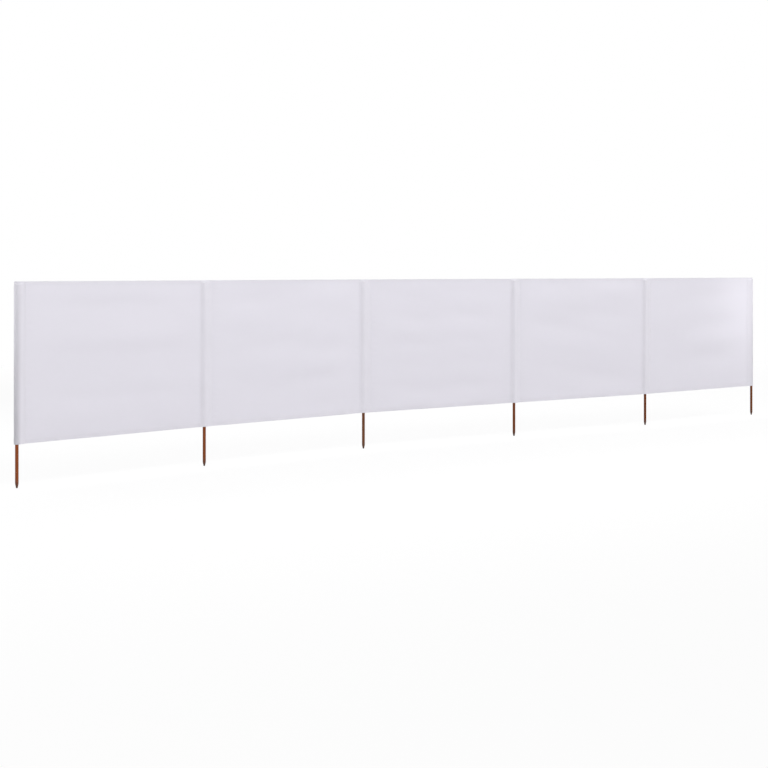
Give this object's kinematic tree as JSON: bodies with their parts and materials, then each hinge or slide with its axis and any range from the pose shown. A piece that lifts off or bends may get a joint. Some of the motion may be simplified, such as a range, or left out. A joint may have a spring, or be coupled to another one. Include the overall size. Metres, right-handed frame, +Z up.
{
  "type": "beach windbreak",
  "caption": "Low wall of white cloth carried by round pointed wooden poles, each in a sewn pocket, pitched in a gently bowed row.",
  "frame": {"origin": "flat tip of the left-hand end pole, seen from the front", "axes": "+X along the row to the tip of the right-hand end pole, +Y to the back, +Z up along the poles"},
  "size_m": [6.0145, 0.2266, 1.0132],
  "materials": {
    "pole_wood": "stained, satin",
    "panel_cloth": "plain weave, matt",
    "pocket_cloth": "plain weave, matt, two layers",
    "hem_cloth": "plain weave, matt, folded"
  },
  "bodies": {
    "root": {"pole_1": "pole_wood", "pole_2": "pole_wood", "pole_3": "pole_wood", "pole_4": "pole_wood", "pole_5": "pole_wood", "pole_6": "pole_wood", "pocket_1": "pocket_cloth", "pocket_2": "pocket_cloth", "pocket_3": "pocket_cloth", "pocket_4": "pocket_cloth", "pocket_5": "pocket_cloth", "pocket_6": "pocket_cloth", "panel_1": "panel_cloth", "panel_2": "panel_cloth", "panel_3": "panel_cloth", "panel_4": "panel_cloth", "panel_5": "panel_cloth", "top_hem_1": "hem_cloth", "top_hem_2": "hem_cloth", "top_hem_3": "hem_cloth", "top_hem_4": "hem_cloth", "top_hem_5": "hem_cloth", "bottom_hem_1": "hem_cloth", "bottom_hem_2": "hem_cloth", "bottom_hem_3": "hem_cloth", "bottom_hem_4": "hem_cloth", "bottom_hem_5": "hem_cloth"}
  },
  "joints": []
}
